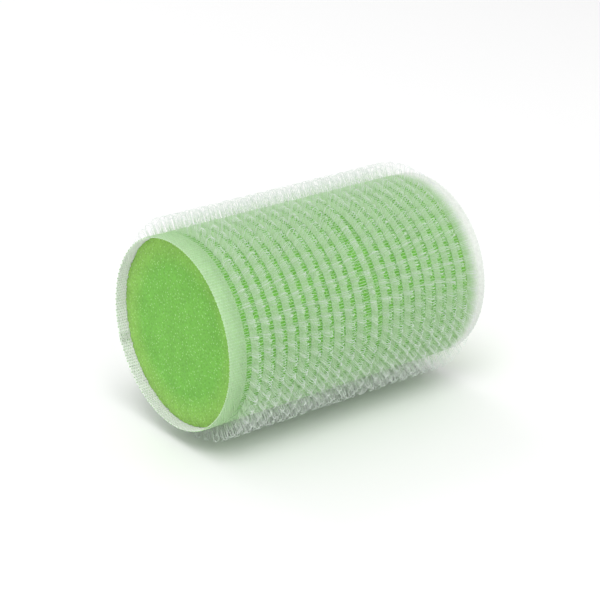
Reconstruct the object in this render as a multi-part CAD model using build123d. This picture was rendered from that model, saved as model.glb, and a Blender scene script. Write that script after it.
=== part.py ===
from build123d import *
import math
import os

# Self-grip hair roller lying on its side, in millimetres.
# The roller's axis is +X and +Z is up. The origin is the centre of the roller.
# A tube of woven hook tape holds a plug of soft foam. The tape's lengthwise (warp) yarns
# run round the tube in bands, its cross (weft) yarns run along the axis, and in each gap
# between two bands a row of filament hooks stands out to catch the hair.

# Whole roller
LENGTH = 60.0
TUBE_DIAMETER = 36.0            # over the woven tape, without the hooks
HOOK_HEIGHT = 3.0               # hook tips above the tape

# Woven tape
BAND_THICKNESS = 0.36
PICK_DIAMETER = 0.16            # one weft yarn
PICK_COUNT = 199
PICK_INSET = 0.15               # weft ends, inside the rim
SELVAGE_NEAR = 3.7              # plain woven edge at the -X end
GAP_WIDTH = 1.1
WIDE_GAP_WIDTH = 1.9            # one gap near the middle is wider
BAND_WIDTH = 1.53
GAP_COUNT = 20
WIDE_GAP = 10                   # counted from 0 at the -X end
SEAM_WIDTH = 1.7                # weld that closes the tape into a tube
CLEARANCE = 0.01                # between the foam, the weft and the bands

# Hooks
HOOKS_AROUND = 44               # hooks round one row
HOOK_WIRE = 0.22                # width of the square filament
FOOT_INSET = 0.3                # hook feet, in from the edges of a gap
SEAM_HOOK = 30                  # the hook that gives way to the seam weld

# Foam core
FOAM_RECESS = 2.1               # foam ends inside the rims

tube_radius = TUBE_DIAMETER / 2
band_inner = tube_radius - BAND_THICKNESS
pick_circle = band_inner - CLEARANCE - PICK_DIAMETER / 2
foam_radius = pick_circle - PICK_DIAMETER / 2 - CLEARANCE
tip_radius = tube_radius + HOOK_HEIGHT
hook_pitch = 360 / HOOKS_AROUND
seam_angle = (SEAM_HOOK + 0.5) * hook_pitch
arch_radius = (GAP_WIDTH + 2 * FOOT_INSET) / 2


def gap_width(index):
    return WIDE_GAP_WIDTH if index == WIDE_GAP else GAP_WIDTH


def gap_start(index):
    """X where a gap begins, on its -X side."""
    before = sum(gap_width(i) + BAND_WIDTH for i in range(index))
    return -LENGTH / 2 + SELVAGE_NEAR + before


def gap_end(index):
    return gap_start(index) + gap_width(index)


def hollow_cylinder(outer, inner, start, end):
    """A tube about the X axis from start to end."""
    length = end - start
    tube = Cylinder(outer, length) - Cylinder(inner, length)
    return Pos((start + end) / 2, 0, 0) * Rot(Y=90) * tube


def woven_band(start, end):
    """A band of the tape, cut where the weld joins its two ends."""
    return hollow_cylinder(tube_radius, band_inner, start, end) - seam_slot


def hook_arch(right_foot):
    """One filament arch, standing up along +Z. Its near foot is at X = 0."""
    half = HOOK_WIRE / 2
    span = 2 * arch_radius
    shoulder = tip_radius - half - arch_radius
    outer_top = (arch_radius, tip_radius)
    inner_top = (arch_radius, tip_radius - HOOK_WIRE)
    outline = [
        Line((-half, tube_radius), (-half, shoulder)),
        ThreePointArc((-half, shoulder), outer_top, (span + half, shoulder)),
        Line((span + half, shoulder), (span + half, right_foot)),
        Line((span + half, right_foot), (span - half, right_foot)),
        Line((span - half, right_foot), (span - half, shoulder)),
        ThreePointArc((span - half, shoulder), inner_top, (half, shoulder)),
        Line((half, shoulder), (half, tube_radius)),
        Line((half, tube_radius), (-half, tube_radius)),
    ]
    return extrude(Plane.XZ * make_face(outline), half, both=True)


def hook_row(right_foot):
    """A ground yarn round the tube with its arches, fused into one piece."""
    outer = tube_radius + HOOK_WIRE
    ground = hollow_cylinder(outer, tube_radius, -HOOK_WIRE, HOOK_WIRE)
    arch = hook_arch(right_foot)
    hooks = [hook for hook in range(HOOKS_AROUND) if hook != SEAM_HOOK]
    return ground + [Rot(X=(hook + 0.5) * hook_pitch) * arch for hook in hooks]


def weft_picks():
    """The weft yarns, side by side round the tube, from one edge of the weld to the other."""
    seam_share = math.degrees(SEAM_WIDTH / tube_radius)
    step = (360 - seam_share) / PICK_COUNT
    pick = Pos(0, 0, pick_circle) * Rot(Y=90) * Cylinder(PICK_DIAMETER / 2, LENGTH - 2 * PICK_INSET)
    first = seam_angle + seam_share / 2 + step / 2
    return [Rot(X=first + index * step) * pick for index in range(PICK_COUNT)]


def save(name, shape):
    shape.label = name
    export_step(shape, f"parts/{name}.step")


os.makedirs("parts", exist_ok=True)

# Slot across the tape where its ends meet, filled by the weld.
slot_depth = 4 * BAND_THICKNESS
seam_slot = Rot(X=seam_angle) * Pos(0, 0, tube_radius) * Box(LENGTH + 2, SEAM_WIDTH, slot_depth)
whole_tape = hollow_cylinder(tube_radius, band_inner, -LENGTH / 2, LENGTH / 2)
save("seam_weld", whole_tape & seam_slot)

# Foam core
foam_length = LENGTH - 2 * FOAM_RECESS
save("foam_core", Rot(Y=90) * Cylinder(foam_radius, foam_length))

# Plain woven edges at the two ends
save("selvage_near", woven_band(-LENGTH / 2, gap_start(0)))
save("selvage_far", woven_band(gap_end(GAP_COUNT - 1), LENGTH / 2))

# Bands of warp yarn between the gaps
for index in range(1, GAP_COUNT):
    save(f"warp_band_{index:02d}", woven_band(gap_end(index - 1), gap_start(index)))

# Weft yarns
save("weft_yarns", Compound(children=weft_picks()))

# Hook rows: all alike, but over the wide gap the far feet stand on the weft.
row_at_zero = hook_row(tube_radius)
wide_row_at_zero = hook_row(band_inner)
for index in range(GAP_COUNT):
    row = wide_row_at_zero if index == WIDE_GAP else row_at_zero
    save(f"hook_row_{index + 1:02d}", Pos(gap_start(index) - FOOT_INSET, 0, 0) * row)
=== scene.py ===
import math

import bpy
import numpy as np
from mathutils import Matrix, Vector, noise


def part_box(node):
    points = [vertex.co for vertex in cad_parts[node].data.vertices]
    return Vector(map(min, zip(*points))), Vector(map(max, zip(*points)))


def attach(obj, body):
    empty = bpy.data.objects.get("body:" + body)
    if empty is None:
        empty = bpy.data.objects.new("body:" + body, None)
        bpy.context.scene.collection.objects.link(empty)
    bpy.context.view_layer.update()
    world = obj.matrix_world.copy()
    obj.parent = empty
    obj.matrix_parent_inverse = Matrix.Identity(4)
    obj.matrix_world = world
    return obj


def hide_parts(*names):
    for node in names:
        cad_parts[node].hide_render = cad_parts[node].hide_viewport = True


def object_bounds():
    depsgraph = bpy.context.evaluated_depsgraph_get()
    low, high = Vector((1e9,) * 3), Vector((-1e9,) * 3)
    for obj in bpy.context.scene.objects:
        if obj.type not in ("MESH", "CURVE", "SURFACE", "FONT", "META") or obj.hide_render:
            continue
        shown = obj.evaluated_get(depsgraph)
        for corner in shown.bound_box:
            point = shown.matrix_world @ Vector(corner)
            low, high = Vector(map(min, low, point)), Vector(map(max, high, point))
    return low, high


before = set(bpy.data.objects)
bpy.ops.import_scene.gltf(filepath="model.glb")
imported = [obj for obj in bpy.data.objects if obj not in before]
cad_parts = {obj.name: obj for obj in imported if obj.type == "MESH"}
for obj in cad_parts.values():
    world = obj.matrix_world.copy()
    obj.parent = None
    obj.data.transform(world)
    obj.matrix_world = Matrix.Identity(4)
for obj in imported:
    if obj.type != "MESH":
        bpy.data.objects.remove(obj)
cad_low, cad_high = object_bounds()

# Lengths are in metres. Angles about the roller's X axis start at +Z and grow towards -Y.
# SWAY, LEAN and TWIST values are the standard deviations of random draws.
MM = 0.001
BAND_COUNT = 19
ROW_COUNT = BAND_COUNT + 1

# Weave
PICKS_AROUND = 202              # places for a weft yarn, three of them taken by the seam
SEAM_PICKS = 3
WARP_PITCH = 0.255 * MM
WARP_HEIGHT = 0.08 * MM         # half the thickness of a warp yarn
WARP_WIDTH_SHARE = 0.56         # half the width of a warp yarn, as a share of its pitch
WARP_SWAY = 0.012 * MM          # how unevenly a warp yarn lies beside the next
WEAVE_DEPTH = 0.05 * MM         # how far warp yarns rise and dip at the weft
WEAVE_SWAY = 0.12               # how unevenly they do so, as a share of the depth
WEAVE_RANGE = (0.7, 1.0)        # shares of the depth that are kept
RIDGE_HEIGHT = 0.07 * MM        # half the height of the ridge that a weft yarn raises in a band
WEFT_RADIUS = 0.065 * MM
WEFT_SWAY_IN_GAP = 0.07 * MM    # how unevenly the weft yarns lie round the tube
WEFT_SWAY_IN_BAND = 0.03 * MM
YARN_SIDES = 6

# Hooks
HOOKS_AROUND = 44
SEAM_HOOK = 30                  # the place in each row that gives way to the seam
PAIR_ANGLE = math.radians(2.7)  # between the whole and the cut loop of one place
HOOK_HEIGHT = 3.0 * MM
HOOK_WIRE = 0.026 * MM          # half the thickness of a hook filament
HOOK_SPAN = 1.2 * MM
SPAN_RANGE = (0.90, 1.06)       # shares of the span that single strands take
TIP_DROP = 0.25 * MM            # how far a strand may stay below the full height
LEAN = 0.04                     # how far strands lean round the roller, as a share of height
TWIST = 0.12 * MM               # how far a strand's two legs turn out of line
FOOT_DEPTH = 0.03 * MM          # feet below the top of the tape
PLACE_SWAY = 0.006              # how unevenly loops stand round a row, in radians
ARCH_POINTS = 11
SLANT_POINTS = 3
STRANDS = 3                     # filaments side by side in one loop
STRAND_GAP = 0.24 * MM
CUT_SWEEP = math.radians(115)   # how far a cut strand bends over

# Foam
FOAM_PRESS = 0.05 * MM          # how far the foam bulges into the innermost yarns
FOAM_CORNER = 0.08 * MM
FOAM_STEPS_AROUND = 300
CORNER_RINGS = 3
BARREL_RINGS = 110
FACE_RINGS = 50
CELL_SIZE = 0.9 * MM
LUMP_SIZE = 4 * MM
SKIN_DEPTH = 0.10 * MM          # depth of the pits and of the lumps
TALLEST_LUMP = 0.08 * MM
RAGGED_CELL = 0.8 * MM
RAGGED_MIDDLE = 0.45            # the ragged pattern's value where the edge stays in place
RAGGED_DEPTH = 0.9 * MM         # how unevenly the cut edge stands along the tape
RAGGED_REACH = 1 * MM           # how far along the barrel it is ragged
RAGGED_START = 0.93             # where it begins on a face, as a share of the radius
RAGGED_GROWTH = 0.05            # and over how much more of the radius it grows

# Seam
BEAD_HALF_WIDTH = 0.9 * MM
BEAD_EDGE = 0.02 * MM           # how far its edges stand past the tape and past the weft circle
BEAD_HEIGHT = 0.16 * MM         # of its crown, above its edges
BEAD_SAG = 0.02 * MM            # of its underside, below its edges
BEAD_INSET = 0.1 * MM           # its ends, inside the rims
BEAD_GRAIN = 0.8 * MM
BEAD_ROUGHNESS = 0.06 * MM

# Textures, in features per metre
PORES = 2200
CLOUDS = 250
GLINT_SPOTS = 1700
FIBRES = 1800

# Colours, as linear RGB
FOAM_FACE = (0.172, 0.490, 0.062)
# Painted light: the faces turn yellower towards their rims.
FOAM_FACE_EDGE_PAINTED_LIGHT = (0.300, 0.570, 0.105)
# Painted shade: darker than the faces, for the shadow of the weave lying over the barrel.
FOAM_BARREL = (0.150, 0.430, 0.062)
# Painted light: the barrel turns yellower towards the foam's far end.
FOAM_FAR_END_PAINTED_LIGHT = (0.300, 0.550, 0.105)
# Painted highlights: small bright glints on the foam's cells.
FOAM_PAINTED_GLINT = (0.55, 0.84, 0.36)
TAPE_ON_FOAM = (0.36, 0.585, 0.295)
# Painted light: green cast on the tape near the near rim by the foam's face.
TAPE_NEAR_RIM_PAINTED_GREEN_LIGHT = (0.385, 0.585, 0.325)
TAPE_FAR_END = (0.76, 0.80, 0.75)
TAPE_INSIDE_RIM = (0.78, 0.82, 0.78)
HOOK_FOOT = (0.41, 0.60, 0.36)
# Partly painted highlight: the tops of the arches are paler, where light catches them.
HOOK_TIP_WITH_PAINTED_HIGHLIGHT = (0.64, 0.69, 0.69)

hook_pitch = 2 * math.pi / HOOKS_AROUND
seam_angle = (SEAM_HOOK + 0.5) * hook_pitch
tube_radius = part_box("selvage_near")[1].z
weft_circle = tube_radius - WARP_HEIGHT - WEAVE_DEPTH - RIDGE_HEIGHT
tip_radius = tube_radius + HOOK_HEIGHT
foam_low, foam_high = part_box("foam_core")
foam_radius = weft_circle - RIDGE_HEIGHT - WARP_HEIGHT + FOAM_PRESS
random = np.random.default_rng(7)


# ---------------------------------------------------------------- meshes

def around(x, radius, angle):
    """Points at a radius and angle about the X axis."""
    parts = np.broadcast_arrays(x, -radius * np.sin(angle), radius * np.cos(angle))
    return np.stack(parts, -1)


def unit(vectors):
    return vectors / np.linalg.norm(vectors, axis=-1, keepdims=True)


def new_piece(name, points, faces, finish):
    """A smooth-shaded mesh object that rides on the roller."""
    mesh = bpy.data.meshes.new(name)
    mesh.from_pydata(points.reshape(-1, 3).tolist(), [], faces)
    mesh.polygons.foreach_set("use_smooth", [True] * len(mesh.polygons))
    mesh.materials.append(finish)
    mesh.update()
    piece = bpy.data.objects.new(name, mesh)
    bpy.context.collection.objects.link(piece)
    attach(piece, "root")
    return piece


def ring_faces(rings, steps):
    """Four-sided faces between closed rings of points, numbered ring by ring."""
    faces = []
    for ring in range(rings - 1):
        here, there = ring * steps, (ring + 1) * steps
        for step in range(steps):
            after = (step + 1) % steps
            faces.append([here + step, there + step, there + after, here + after])
    return faces


def filaments(lines, across, width, height, closed):
    """Skins many lines of points, an array (lines, points, 3), with oval tubes.

    across is a direction roughly square to each line, along which a tube's width lies.
    width and height are half-thicknesses."""
    count, length = lines.shape[:2]
    ahead = np.roll(lines, -1, 1) - np.roll(lines, 1, 1)
    if not closed:
        ahead[:, 0] = lines[:, 1] - lines[:, 0]
        ahead[:, -1] = lines[:, -1] - lines[:, -2]
    ahead = unit(ahead)
    up = unit(np.cross(ahead, across))
    side = np.cross(up, ahead)
    turn = np.arange(YARN_SIDES) / YARN_SIDES * 2 * math.pi
    out = side[:, :, None] * width * np.cos(turn)[:, None]
    out = out + up[:, :, None] * height * np.sin(turn)[:, None]
    points = lines[:, :, None] + out

    spans = length if closed else length - 1
    line, place, corner = np.meshgrid(
        np.arange(count), np.arange(spans), np.arange(YARN_SIDES), indexing="ij"
    )
    here = (line * length + place) * YARN_SIDES
    there = (line * length + (place + 1) % length) * YARN_SIDES
    after = (corner + 1) % YARN_SIDES
    quads = np.stack([here + corner, here + after, there + after, there + corner], -1)
    faces = quads.reshape(-1, 4).tolist()
    if not closed:
        for number in range(count):
            start = number * length * YARN_SIDES
            end = start + (length - 1) * YARN_SIDES
            faces.append(list(range(start + YARN_SIDES - 1, start - 1, -1)))
            faces.append(list(range(end, end + YARN_SIDES)))
    return points, faces


# ------------------------------------------------------------- materials

def material(name):
    made = bpy.data.materials.new(name)
    made.use_nodes = True
    return made, made.node_tree.nodes, made.node_tree.links


def own_place(nodes):
    """The roller's own coordinates, from one node in each material."""
    place = nodes.get("Place") or nodes.new("ShaderNodeTexCoord")
    place.name = "Place"
    return place.outputs["Object"]


def split_place(nodes, links):
    """The roller's own X, Y and Z as separate values."""
    split = nodes.new("ShaderNodeSeparateXYZ")
    links.new(own_place(nodes), split.inputs[0])
    return split


def pattern(nodes, links, kind, scale, **settings):
    """A 3-D texture node in the roller's own coordinates, scaled per metre."""
    texture = nodes.new(kind)
    for key, value in settings.items():
        texture.inputs[key].default_value = value
    texture.inputs["Scale"].default_value = scale
    links.new(own_place(nodes), texture.inputs["Vector"])
    return texture


def ramp(nodes, links, source, stops):
    """A colour ramp from two (position, colour) stops."""
    node = nodes.new("ShaderNodeValToRGB")
    links.new(source, node.inputs[0])
    for element, (position, colour) in zip(node.color_ramp.elements, stops):
        element.position = position
        element.color = (*colour, 1)
    return node.outputs[0]


def grey(level):
    return (level,) * 3


def mix(nodes, links, share, first, second, blend="MIX"):
    """A mix of two colours, each a value or a socket. share is a number or a socket."""
    node = nodes.new("ShaderNodeMix")
    node.data_type = "RGBA"
    node.blend_type = blend
    if isinstance(share, float):
        node.inputs["Factor"].default_value = share
    else:
        links.new(share, node.inputs["Factor"])
    for value, socket in ((first, node.inputs["A"]), (second, node.inputs["B"])):
        if isinstance(value, tuple):
            socket.default_value = (*value, 1)
        else:
            links.new(value, socket)
    return node.outputs["Result"]


def multiply(nodes, links, colour, tone):
    return mix(nodes, links, 1.0, colour, tone, "MULTIPLY")


def calculate(nodes, links, operation, *sources):
    node = nodes.new("ShaderNodeMath")
    node.operation = operation
    for source, socket in zip(sources, node.inputs):
        links.new(source, socket)
    return node.outputs[0]


def axis_distance(nodes, links):
    """Distance from the roller's axis."""
    split = split_place(nodes, links)
    square_y = calculate(nodes, links, "MULTIPLY", split.outputs["Y"], split.outputs["Y"])
    square_z = calculate(nodes, links, "MULTIPLY", split.outputs["Z"], split.outputs["Z"])
    return calculate(nodes, links, "SQRT", calculate(nodes, links, "ADD", square_y, square_z))


def remap(nodes, links, value, from_range, to_range=(0.0, 1.0)):
    node = nodes.new("ShaderNodeMapRange")
    node.inputs["From Min"].default_value, node.inputs["From Max"].default_value = from_range
    node.inputs["To Min"].default_value, node.inputs["To Max"].default_value = to_range
    links.new(value, node.inputs["Value"])
    return node.outputs[0]


def bump(nodes, links, height, shader, strength, distance):
    node = nodes.new("ShaderNodeBump")
    node.inputs["Strength"].default_value = strength
    node.inputs["Distance"].default_value = distance
    links.new(height, node.inputs["Height"])
    links.new(node.outputs[0], shader.inputs["Normal"])


def foam_material():
    """Cut open-cell foam: green, mottled, with pores darkened by painted shade and light flecks that
    are painted glints.

    It is yellower near the edge of its faces and at the far end of its barrel: painted light, as if
    more light fell there."""
    made, nodes, links = material("green_foam")
    shader = nodes["Principled BSDF"]
    x = split_place(nodes, links).outputs["X"]
    from_middle = calculate(nodes, links, "ABSOLUTE", x)
    face_range = (foam_high.x - 0.6 * MM, foam_high.x - 0.2 * MM)
    on_face = remap(nodes, links, from_middle, face_range)
    # Painted light: the face is yellower towards its rim.
    edge_range = (0.68 * foam_high.z, foam_high.z)
    at_edge = remap(nodes, links, axis_distance(nodes, links), edge_range)
    face = mix(nodes, links, at_edge, FOAM_FACE, FOAM_FACE_EDGE_PAINTED_LIGHT)
    # Painted light: the barrel is yellower towards its far end.
    at_far_end = remap(nodes, links, x, (foam_high.x - 3.4 * MM, foam_high.x))
    # The barrel's colour carries painted shade from the weave over it.
    barrel = mix(nodes, links, at_far_end, FOAM_BARREL, FOAM_FAR_END_PAINTED_LIGHT)
    body = mix(nodes, links, on_face, barrel, face)
    cells = pattern(nodes, links, "ShaderNodeTexVoronoi", PORES, Randomness=1.0).outputs["Distance"]
    # Painted shade: the foam is darker in its pores.
    pores = ramp(nodes, links, cells, [(0.10, grey(0.80)), (0.55, grey(1.05))])
    clouds = pattern(nodes, links, "ShaderNodeTexNoise", CLOUDS, Detail=4.0).outputs["Fac"]
    cloud_tone = ramp(nodes, links, clouds, [(0.3, grey(0.93)), (0.7, grey(1.07))])
    # Painted highlights: sparse bright glints mixed into the foam's colour.
    spots = pattern(nodes, links, "ShaderNodeTexVoronoi", GLINT_SPOTS, Randomness=1.0).outputs["Distance"]
    flecks = ramp(nodes, links, spots, [(0.06, grey(0.7)), (0.30, grey(0.0))])
    mottled = multiply(nodes, links, multiply(nodes, links, body, pores), cloud_tone)
    links.new(mix(nodes, links, flecks, mottled, FOAM_PAINTED_GLINT), shader.inputs["Base Color"])
    shader.inputs["Roughness"].default_value = 0.9
    shader.inputs["Specular IOR Level"].default_value = 0.25
    shader.inputs["Sheen Weight"].default_value = 0.15
    bump(nodes, links, cells, shader, strength=0.5, distance=0.12 * MM)
    return made


def tape_material(name, roughness, gloss):
    """Milky nylon, tinted by what lies behind it.

    It is green over the foam, and pale past the foam's far end and on the inside of a rim. Past the
    foam's near end it stays green, painted light from the foam's face."""
    made, nodes, links = material(name)
    along = split_place(nodes, links).outputs["X"]
    # Painted light: the tape stays green past the foam's near end, for light from the foam's face.
    at_near_rim = remap(nodes, links, along, (foam_low.x + 0.6 * MM, cad_low.x))
    at_far_end = remap(nodes, links, along, (foam_high.x - 1.6 * MM, foam_high.x + 0.8 * MM))
    inner_range = (weft_circle, weft_circle - WEAVE_DEPTH)
    inside = remap(nodes, links, axis_distance(nodes, links), inner_range)
    colour = mix(nodes, links, at_near_rim, TAPE_ON_FOAM, TAPE_NEAR_RIM_PAINTED_GREEN_LIGHT)
    colour = mix(nodes, links, at_far_end, colour, TAPE_FAR_END)
    colour = mix(nodes, links, inside, colour, TAPE_INSIDE_RIM)
    finish_nylon(nodes, links, colour, roughness, gloss)
    return made


def hook_material():
    """Clear nylon filament, pale green near the tape and paler towards the tips; the paler tips are
    partly the filament's see-through tint and partly a painted highlight on the arches.
    """
    made, nodes, links = material("hook_nylon")
    rise = (tube_radius + 0.3 * MM, tip_radius - 0.6 * MM)
    height = remap(nodes, links, axis_distance(nodes, links), rise)
    # Paler towards the tips: partly the filament's tint, partly a painted highlight on the arches.
    colour = mix(nodes, links, height, HOOK_FOOT, HOOK_TIP_WITH_PAINTED_HIGHLIGHT)
    finish_nylon(nodes, links, colour, roughness=0.4, gloss=0.4)
    return made


def finish_nylon(nodes, links, colour, roughness, gloss):
    """Soft light through the yarn, and fibres that vary its tone, roughness and surface."""
    shader = nodes["Principled BSDF"]
    noise_node = pattern(nodes, links, "ShaderNodeTexNoise", FIBRES, Detail=3.0, Roughness=0.6)
    fibres = noise_node.outputs["Fac"]
    shade = ramp(nodes, links, fibres, [(0.3, grey(0.93)), (0.7, grey(1.07))])
    links.new(multiply(nodes, links, colour, shade), shader.inputs["Base Color"])
    spread = 0.08
    rough = remap(nodes, links, fibres, (0.0, 1.0), (roughness - spread, roughness + spread))
    links.new(rough, shader.inputs["Roughness"])
    shader.inputs["Specular IOR Level"].default_value = gloss
    shader.inputs["Subsurface Weight"].default_value = 1.0
    shader.inputs["Subsurface Radius"].default_value = (1.0, 1.0, 1.0)
    shader.inputs["Subsurface Scale"].default_value = 0.4 * MM
    bump(nodes, links, fibres, shader, strength=0.15, distance=0.03 * MM)


# ---------------------------------------------------------------- pieces

def foam_profile():
    """X and radius of the foam's rings, from one pole over the barrel to the other."""
    flat_radius = foam_radius - FOAM_CORNER
    face_radii = np.linspace(0.0, flat_radius, FACE_RINGS)
    bend = np.linspace(0, math.pi / 2, CORNER_RINGS + 2)[1:-1]
    bend_radii = flat_radius + FOAM_CORNER * np.sin(bend)
    bend_x = foam_low.x + FOAM_CORNER - FOAM_CORNER * np.cos(bend)
    barrel_x = np.linspace(foam_low.x + FOAM_CORNER, foam_high.x - FOAM_CORNER, BARREL_RINGS)
    near_x = np.full(FACE_RINGS, foam_low.x)
    far_x = np.full(FACE_RINGS, foam_high.x)
    x = np.concatenate([near_x, bend_x, barrel_x, -bend_x[::-1], far_x])
    barrel_radii = np.full(BARREL_RINGS, foam_radius)
    radii = [face_radii, bend_radii, barrel_radii, bend_radii[::-1], face_radii[::-1]]
    return x, np.concatenate(radii)


def roughen(point):
    """Moves a point of the foam's skin by its cells, its lumps and its ragged cut edge."""
    spot = Vector(point)
    reach = math.hypot(point[1], point[2])
    ragged = noise.voronoi(spot / RAGGED_CELL)[0][0] - RAGGED_MIDDLE
    at_end = np.clip(1 - (foam_high.x - abs(point[0])) / RAGGED_REACH, 0, 1)
    at_edge = np.clip((reach / foam_radius - RAGGED_START) / RAGGED_GROWTH, 0, 1)
    point[0] -= math.copysign(ragged * at_end * at_edge * RAGGED_DEPTH, point[0])
    cell = noise.voronoi(spot / CELL_SIZE)[0][0] - 0.5
    depth = (cell + noise.noise(spot / LUMP_SIZE)) * SKIN_DEPTH
    if reach < foam_radius - FOAM_CORNER:
        point[0] += math.copysign(min(depth, TALLEST_LUMP), point[0])
    else:
        point[1:] *= 1 + min(depth, 0.0) / reach


def make_foam(finish):
    """The foam plug: barrel and cut ends as one skin."""
    x, radii = foam_profile()
    angle = np.arange(FOAM_STEPS_AROUND) / FOAM_STEPS_AROUND * 2 * math.pi
    skin = around(x[1:-1, None], radii[1:-1, None], angle[None, :]).reshape(-1, 3)
    for point in skin:
        roughen(point)
    poles = np.array([[foam_low.x, 0, 0], [foam_high.x, 0, 0]])
    near_pole, far_pole = len(skin), len(skin) + 1
    faces = ring_faces(len(x) - 2, FOAM_STEPS_AROUND)
    last_ring = len(skin) - FOAM_STEPS_AROUND
    for step in range(FOAM_STEPS_AROUND):
        after = (step + 1) % FOAM_STEPS_AROUND
        faces.append([near_pole, step, after])
        faces.append([far_pole, last_ring + after, last_ring + step])
    foam = new_piece("foam_plug", np.concatenate([skin, poles]), faces, finish)
    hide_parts("foam_core")


def warp_yarns(start, end):
    """Warp yarns side by side from start to end, over one weft yarn and under the next."""
    count = max(2, round((end - start) / WARP_PITCH))
    pitch = (end - start) / count
    x = start + pitch * (np.arange(count) + 0.5)
    steps = PICKS_AROUND * 2
    angle = np.arange(steps) / steps * 2 * math.pi
    wave = np.cos(angle * PICKS_AROUND / 2 + math.pi * (np.arange(count) % 2)[:, None])
    ridge = RIDGE_HEIGHT * np.cos(angle * PICKS_AROUND)
    lift = 1 + WEAVE_SWAY * random.standard_normal((count, steps))
    sway = WARP_SWAY * random.standard_normal((count, steps))
    radius = weft_circle + ridge + WEAVE_DEPTH * wave * np.clip(lift, *WEAVE_RANGE)
    lines = around(x[:, None] + sway, radius, angle[None, :] + seam_angle)
    axis = np.array([1.0, 0, 0])
    return filaments(lines, axis, pitch * WARP_WIDTH_SHARE, WARP_HEIGHT, closed=True)


def band_node(number):
    """The CAD node of a band, counted from 1 along X. The selvages come before and after."""
    if number == 0:
        return "selvage_near"
    if number == BAND_COUNT + 1:
        return "selvage_far"
    return f"warp_band_{number:02d}"


def make_bands(finish):
    for number in [*range(1, BAND_COUNT + 1), 0, BAND_COUNT + 1]:
        node = band_node(number)
        low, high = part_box(node)
        points, faces = warp_yarns(low.x, high.x)
        piece = new_piece(node + "_weave", points, faces, finish)
        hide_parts(node)


def make_weft(finish):
    """The weft yarns: nearly straight under the bands, and looser in the gaps."""
    low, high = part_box("weft_yarns")
    picks = np.arange(SEAM_PICKS // 2 + 1, PICKS_AROUND - SEAM_PICKS // 2)
    angle = seam_angle + picks / PICKS_AROUND * 2 * math.pi
    x = [low.x]
    for number in range(ROW_COUNT):
        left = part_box(band_node(number))[1].x
        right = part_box(band_node(number + 1))[0].x
        x += [left, (left + right) / 2, right]
    x = np.array(x + [high.x])
    in_gap = np.arange(len(x)) % 3 == 2
    sway = np.where(in_gap, WEFT_SWAY_IN_GAP, WEFT_SWAY_IN_BAND)
    loose = random.standard_normal((len(picks), len(x))) * sway
    lines = around(x[None, :], weft_circle, angle[:, None] + loose / tube_radius)
    across = np.stack([np.zeros_like(angle), -np.cos(angle), -np.sin(angle)], -1)[:, None]
    points, faces = filaments(lines, across, WEFT_RADIUS, WEFT_RADIUS, closed=False)
    piece = new_piece("weft_rungs", points, faces, finish)
    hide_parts("weft_yarns")


def hook_line(start_x, angle, cut):
    """One strand of a row: up from its near foot, over in an arch, down to its far foot, and
    back on a slant. A cut strand stands on its far foot and ends bent over."""
    span = HOOK_SPAN * random.uniform(*SPAN_RANGE)
    lean = random.normal(0, LEAN)
    twist = random.normal(0, TWIST)
    top = tip_radius - HOOK_WIRE - random.uniform(0, TIP_DROP)
    arch = span / 2
    shoulder = top - arch
    root = tube_radius - FOOT_DEPTH
    rise = (root + shoulder) / 2
    if cut:
        # As many points as a whole strand has, so that all strands make one array.
        sweep = np.linspace(0, CUT_SWEEP, ARCH_POINTS + SLANT_POINTS + 2)
        x = np.concatenate([[span, span], arch + arch * np.cos(sweep)])
        radius = np.concatenate([[root, rise], shoulder + arch * np.sin(sweep)])
        turned = np.zeros(len(x))
    else:
        sweep = np.linspace(math.pi, 0, ARCH_POINTS)
        slant = np.arange(1, SLANT_POINTS + 1) / SLANT_POINTS
        x = np.concatenate([[0, 0], arch + arch * np.cos(sweep), [span, span], span - slant * span])
        standing = np.concatenate([[root, rise], shoulder + arch * np.sin(sweep), [rise, root]])
        radius = np.concatenate([standing, np.full(SLANT_POINTS, root)])
        turned = np.concatenate([np.zeros(len(standing)), slant * PAIR_ANGLE])
    forward = (radius - root) * (lean + twist / HOOK_HEIGHT * (x / span - 0.5))
    return around(start_x + x, radius, angle + turned + forward / tube_radius)


def hook_strands(start_x):
    """All strands of one row: at each place a whole loop and, beside it, a cut one."""
    lines = []
    for hook in range(HOOKS_AROUND):
        if hook == SEAM_HOOK:
            continue
        for side, cut in ((-0.5, False), (0.5, True)):
            angle = (hook + 0.5) * hook_pitch + side * PAIR_ANGLE + random.normal(0, PLACE_SWAY)
            for strand in range(STRANDS):
                offset = (strand - (STRANDS - 1) / 2) * STRAND_GAP / tube_radius
                lines.append(hook_line(start_x, angle + offset, cut))
    return np.array(lines)


def make_hooks(finish):
    """A row of loops over each gap, with the near feet on a band. The far feet come down by the
    next band, except in the wide gap, where they stop over the weft."""
    for number in range(1, ROW_COUNT + 1):
        node = f"hook_row_{number:02d}"
        low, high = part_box(node)
        lines = hook_strands((low.x + high.x) / 2 - HOOK_SPAN / 2)
        outward = unit(lines.mean(1) * np.array([0, 1, 1]))
        across = np.cross(outward, np.array([1.0, 0, 0]))[:, None]
        points, faces = filaments(lines, across, HOOK_WIRE, HOOK_WIRE, closed=False)
        piece = new_piece(f"hook_loops_{number:02d}", points, faces, finish)
        piece.visible_shadow = False    # clear filament lets the light through
        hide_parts(node)


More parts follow.
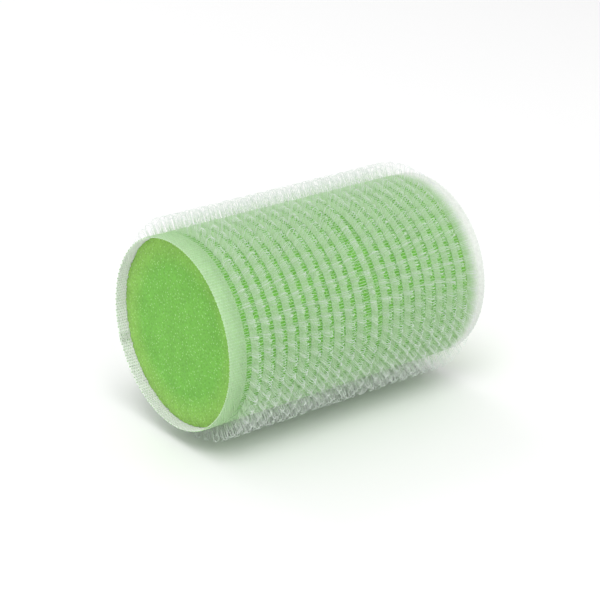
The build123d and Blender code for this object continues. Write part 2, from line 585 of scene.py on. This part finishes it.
def make_seam(finish):
    """The weld: a milky, uneven bead of melted nylon along the tube."""
    low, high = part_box("seam_weld")
    steps_along, steps_over = 400, 16
    x = np.linspace(low.x + BEAD_INSET, high.x - BEAD_INSET, steps_along)
    side = np.linspace(-1, 1, steps_over)
    turned = side * BEAD_HALF_WIDTH / tube_radius
    crown = np.sqrt(np.clip(1 - side**2, 0, 1))
    top = tube_radius + BEAD_EDGE + BEAD_HEIGHT * crown
    bottom = weft_circle - BEAD_EDGE - BEAD_SAG * crown
    outer = around(x[:, None], top[None, :], seam_angle + turned[None, :])
    inner = around(x[:, None], bottom[None, ::-1], seam_angle + turned[None, ::-1])
    points = np.concatenate([outer, inner], 1)
    increment, lacunarity, octaves = 0.8, 2.0, 3
    for point in points.reshape(-1, 3):
        rough = noise.fractal(Vector(point) / BEAD_GRAIN, increment, lacunarity, octaves)
        point[1:] *= 1 + rough * BEAD_ROUGHNESS / tube_radius
    ring = 2 * steps_over
    last_ring = (steps_along - 1) * ring
    faces = ring_faces(steps_along, ring)
    faces.append(list(range(ring)))
    faces.append(list(range(last_ring + ring - 1, last_ring - 1, -1)))
    piece = new_piece("seam_bead", points, faces, finish)
    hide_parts("seam_weld")


# ------------------------------------------------------- stage and camera

def make_stage():
    """A pale floor that touches the roller's lowest hooks."""
    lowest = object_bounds()[0].z
    bpy.ops.mesh.primitive_plane_add(size=4, location=(0, 0, lowest))
    floor = bpy.context.object
    floor.name = "floor"
    made, nodes, _ = material("pale_floor")
    shader = nodes["Principled BSDF"]
    shader.inputs["Base Color"].default_value = (*grey(0.90), 1)
    shader.inputs["Roughness"].default_value = 0.7
    floor.data.materials.append(made)


def add_light(name, spot, size, power):
    """A square light at a spot, turned towards the roller."""
    data = bpy.data.lights.new(name, "AREA")
    data.size = size
    data.energy = power
    light = bpy.data.objects.new(name, data)
    light.location = spot
    light.rotation_euler = (-Vector(spot)).to_track_quat("-Z", "Y").to_euler()
    bpy.context.collection.objects.link(light)


def make_lights():
    world = bpy.data.worlds.new("studio")
    world.use_nodes = True
    background = world.node_tree.nodes["Background"]
    background.inputs["Color"].default_value = (1, 1, 1, 1)
    background.inputs["Strength"].default_value = 0.67
    bpy.context.scene.world = world
    bpy.context.scene.view_settings.view_transform = "Standard"
    add_light("key", (-0.25, -0.30, 0.80), size=0.5, power=4.0)
    add_light("fill", (-0.1, -0.75, 0.12), size=0.6, power=1.9)
    add_light("back", (0.1, 0.7, 0.5), size=0.5, power=1.4)


def make_camera():
    """At the photograph's angle: from the near end, a little above."""
    azimuth, elevation, distance = math.radians(-38.4), math.radians(21.6), 0.342
    back = Vector((
        math.sin(azimuth) * math.cos(elevation),
        -math.cos(azimuth) * math.cos(elevation),
        math.sin(elevation),
    ))
    data = bpy.data.cameras.new("camera")
    data.sensor_width = 36
    data.lens = 109.4
    data.shift_x = -0.0042
    data.shift_y = -0.0058
    data.clip_start = 0.01
    camera = bpy.data.objects.new("camera", data)
    camera.location = back * distance
    camera.rotation_euler = back.to_track_quat("Z", "Y").to_euler()
    bpy.context.collection.objects.link(camera)
    bpy.context.scene.camera = camera


make_camera()
make_foam(foam_material())
make_bands(tape_material("woven_nylon", roughness=0.5, gloss=0.3))
make_weft(tape_material("weft_nylon", roughness=0.45, gloss=0.35))
make_hooks(hook_material())
make_seam(tape_material("fused_nylon", roughness=0.5, gloss=0.4))
make_stage()
make_lights()
